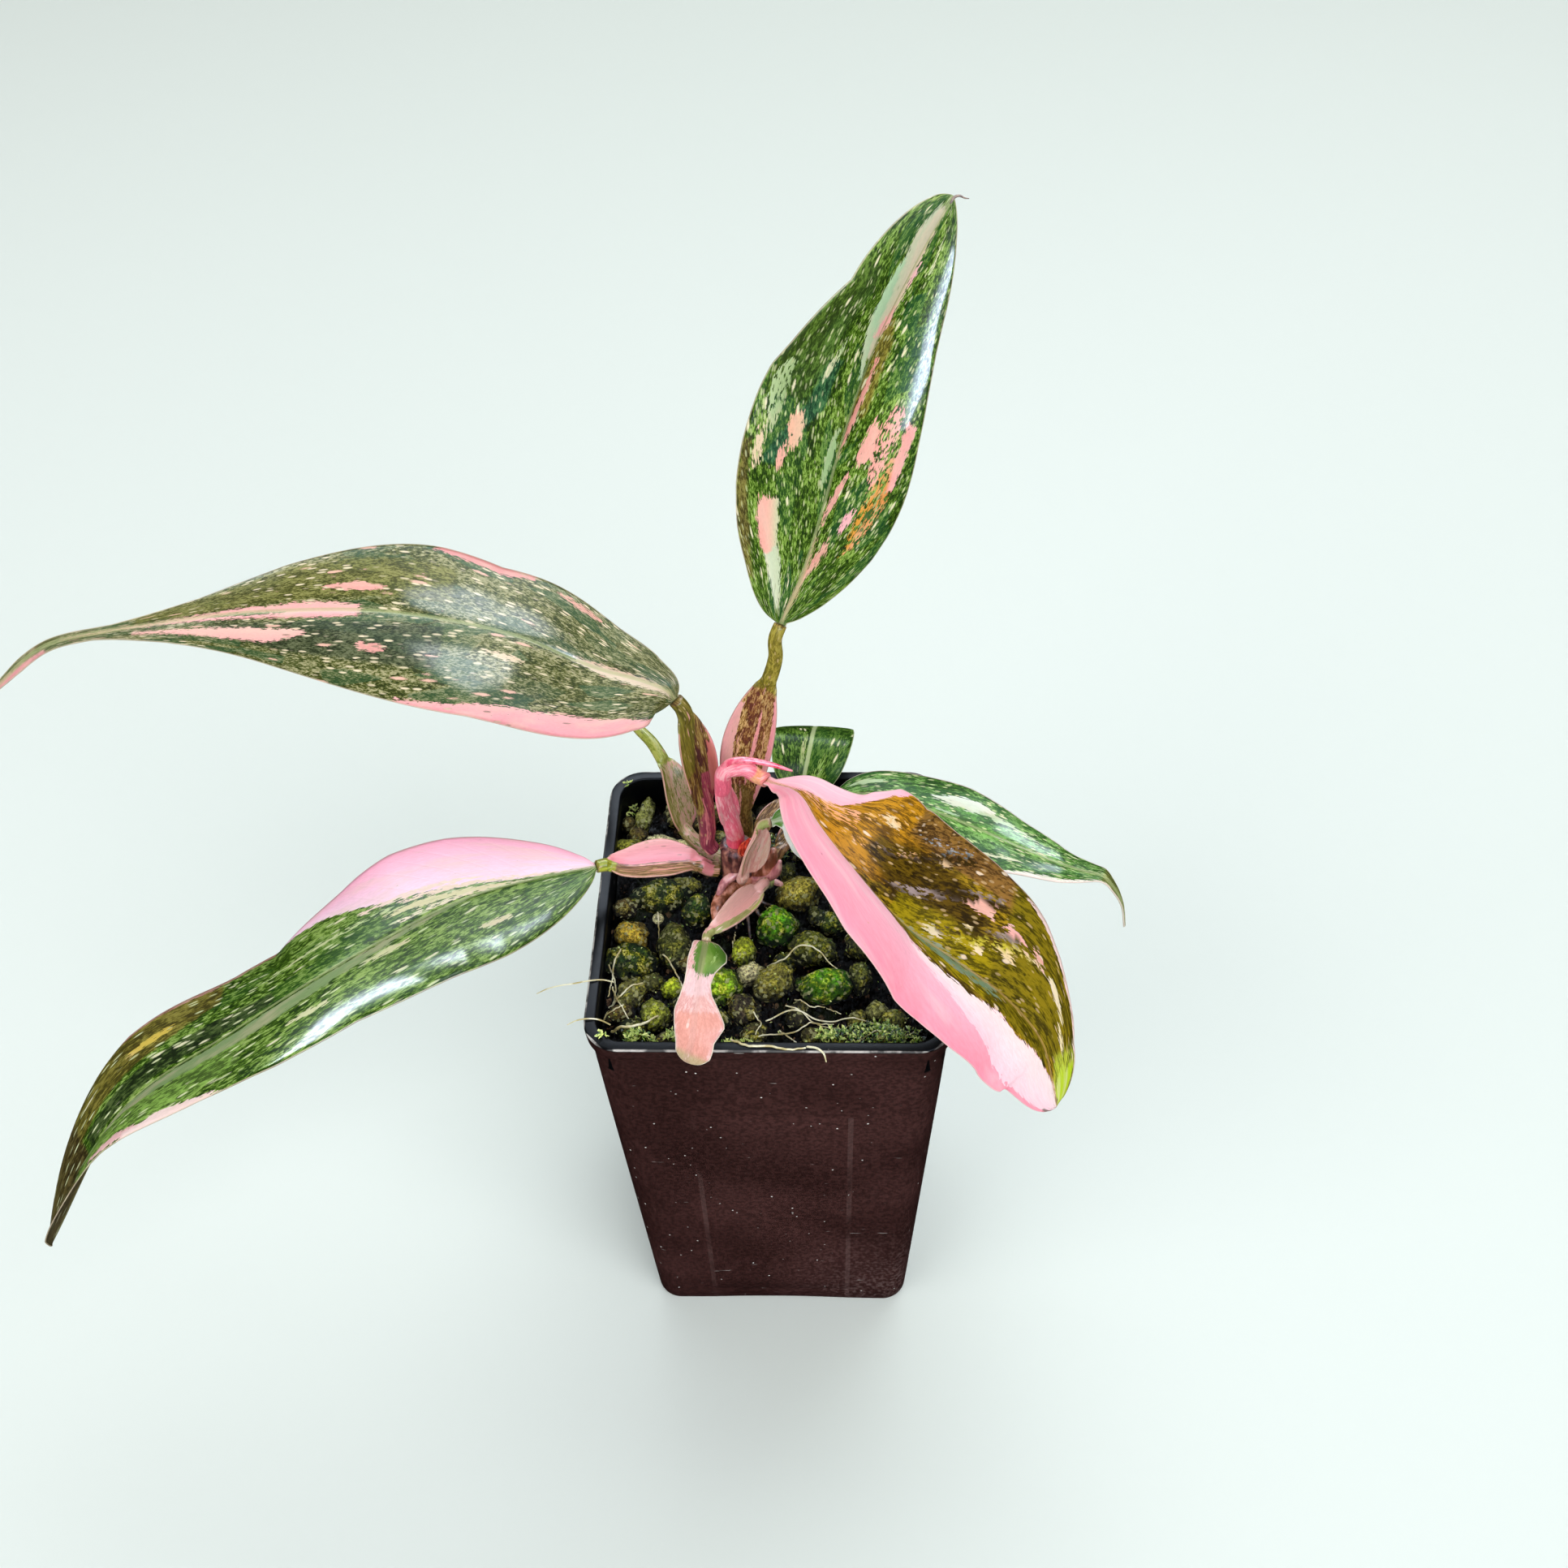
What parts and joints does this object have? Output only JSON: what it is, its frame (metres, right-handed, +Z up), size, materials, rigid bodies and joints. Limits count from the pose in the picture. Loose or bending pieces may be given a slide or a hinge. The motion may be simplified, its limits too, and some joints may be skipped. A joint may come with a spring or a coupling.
{
  "type": "potted pink princess philodendron",
  "caption": "Pink princess philodendron with arching variegated leaves on sheathed petioles, growing in pebbly mix in a square tapered black nursery pot.",
  "frame": {"origin": "centre of the pot's flat underside", "axes": "+Z up out of the pot, -Y towards the front of the plant, +X to its right"},
  "size_m": [0.2797, 0.1524, 0.3111],
  "materials": {
    "black_plastic": "satin moulded black plastic, dusty",
    "growing_mix": "damp bark mix with porous pebbles, green with algae and moss",
    "stem_bark": "rough brown stem with old petiole scars",
    "leaf_upright": "glossy leaf with pink and cream variegation",
    "leaf_upper_left": "glossy leaf with pink and cream variegation",
    "leaf_lower_left": "glossy leaf with pink and cream variegation",
    "leaf_front_right": "glossy leaf with pink and cream variegation",
    "leaf_right": "glossy leaf with pink and cream variegation",
    "leaf_back": "glossy leaf with pink and cream variegation",
    "leaf_small_front": "glossy leaf with pink and cream variegation",
    "leaf_hidden": "glossy leaf with pink and cream variegation",
    "leaf_pale": "glossy leaf with pink and cream variegation",
    "stalk_upright": "satin leaf stalk with a sheath",
    "stalk_upper_left": "satin leaf stalk with a sheath",
    "stalk_lower_left": "satin leaf stalk with a sheath",
    "stalk_front_right": "satin leaf stalk with a sheath",
    "stalk_right": "satin leaf stalk with a sheath",
    "stalk_back": "satin leaf stalk with a sheath",
    "stalk_small_front": "satin leaf stalk with a sheath",
    "stalk_hidden": "satin leaf stalk with a sheath",
    "stalk_pale": "satin leaf stalk with a sheath"
  },
  "bodies": {
    "root": {"pot": "black_plastic", "growing_mix": "growing_mix", "stem": "stem_bark", "blade_upright": "leaf_upright", "blade_upper_left": "leaf_upper_left", "blade_lower_left": "leaf_lower_left", "blade_front_right": "leaf_front_right", "blade_right": "leaf_right", "blade_back": "leaf_back", "blade_small_front": "leaf_small_front", "blade_hidden": "leaf_hidden", "blade_pale": "leaf_pale", "petiole_upright": "stalk_upright", "petiole_upper_left": "stalk_upper_left", "petiole_lower_left": "stalk_lower_left", "petiole_front_right": "stalk_front_right", "petiole_right": "stalk_right", "petiole_back": "stalk_back", "petiole_small_front": "stalk_small_front", "petiole_hidden": "stalk_hidden", "petiole_pale": "stalk_pale"}
  },
  "joints": []
}
